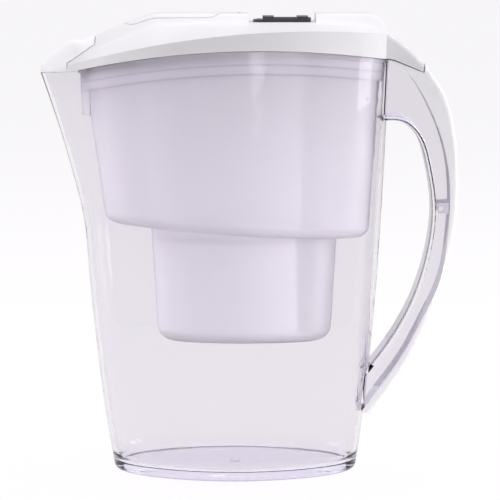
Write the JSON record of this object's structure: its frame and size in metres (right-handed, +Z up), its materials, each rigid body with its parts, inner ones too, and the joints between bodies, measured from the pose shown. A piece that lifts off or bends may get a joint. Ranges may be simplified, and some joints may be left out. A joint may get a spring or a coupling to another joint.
{
  "type": "water filter pitcher",
  "caption": "Clear oval pitcher with pour spout, D handle, frosted filter funnel with cartridge, and white domed lid with spout flap, refill flap and filter change indicator.",
  "frame": {"origin": "on the table plane, under the middle of the jug's foot", "axes": "+Z up, -X towards the spout, +X towards the handle, Y across"},
  "size_m": [0.2335, 0.1062, 0.2579],
  "materials": {
    "clear_plastic": "clear, polished",
    "frosted_plastic": "frosted, translucent",
    "white_plastic": "satin white",
    "handle_white": "satin white",
    "flap_white": "satin white",
    "hood_white": "satin white",
    "cartridge_plastic": "translucent white",
    "cap_plastic": "satin white",
    "seal_rubber": "soft, matt",
    "mesh_nylon": "fine woven mesh",
    "media_grains": "wet grains",
    "bezel_grey": "satin grey",
    "lens_clear": "clear, polished",
    "display_face": "grey liquid crystal",
    "button_grey": "satin grey",
    "tray_white": "satin",
    "gasket_rubber": "soft, matt",
    "board_green": "lacquered board",
    "chip_black": "cast resin",
    "connector_rubber": "soft, striped",
    "steel": "bright steel"
  },
  "bodies": {
    "jug": {"jug_body": "clear_plastic", "handle_cover": "handle_white"},
    "funnel": {"funnel": "frosted_plastic"},
    "cartridge": {"cartridge_shell": "cartridge_plastic", "cartridge_cap": "cap_plastic", "cartridge_seal": "seal_rubber", "inlet_mesh": "mesh_nylon", "outlet_mesh": "mesh_nylon", "filter_media": "media_grains"},
    "lid": {"lid_shell": "white_plastic", "indicator_back": "tray_white", "indicator_seal": "gasket_rubber", "indicator_bezel": "bezel_grey", "indicator_lens": "lens_clear", "indicator_display": "display_face", "indicator_board": "board_green", "indicator_chip": "chip_black", "display_connector_left": "connector_rubber", "display_connector_right": "connector_rubber", "button_dome": "steel", "indicator_battery": "steel", "battery_contact": "steel"},
    "spout_flap": {"spout_flap": "hood_white"},
    "refill_flap": {"refill_flap": "flap_white"},
    "reset_button": {"reset_button": "button_grey"}
  },
  "joints": [
    {"name": "funnel_lift", "type": "slide", "parent": "jug", "child": "funnel", "axis": [0, 0, 1], "range_m": [0, 0.25]},
    {"name": "lid_lift", "type": "slide", "parent": "funnel", "child": "lid", "axis": [0, 0, 1], "range_m": [0, 0.21]},
    {"name": "cartridge_lift", "type": "slide", "parent": "funnel", "child": "cartridge", "axis": [0, 0, 1], "range_m": [0, 0.17]},
    {"name": "spout_flap_hinge", "type": "hinge", "parent": "lid", "child": "spout_flap", "pos_m": [-0.072, 0, 0.244], "axis": [0, 1, 0], "range_deg": [0, 50]},
    {"name": "refill_flap_hinge", "type": "hinge", "parent": "lid", "child": "refill_flap", "pos_m": [0.001, 0, 0.255], "axis": [0, 1, 0], "range_deg": [0, 65]},
    {"name": "reset_button_press", "type": "slide", "parent": "lid", "child": "reset_button", "axis": [0, 0, -1], "range_m": [0, 0.0006], "stiffness_N_per_m": 300}
  ],
  "couplings": [
    {"joint": "cartridge_lift", "follows": "lid_lift", "ratio": 0.8}
  ]
}
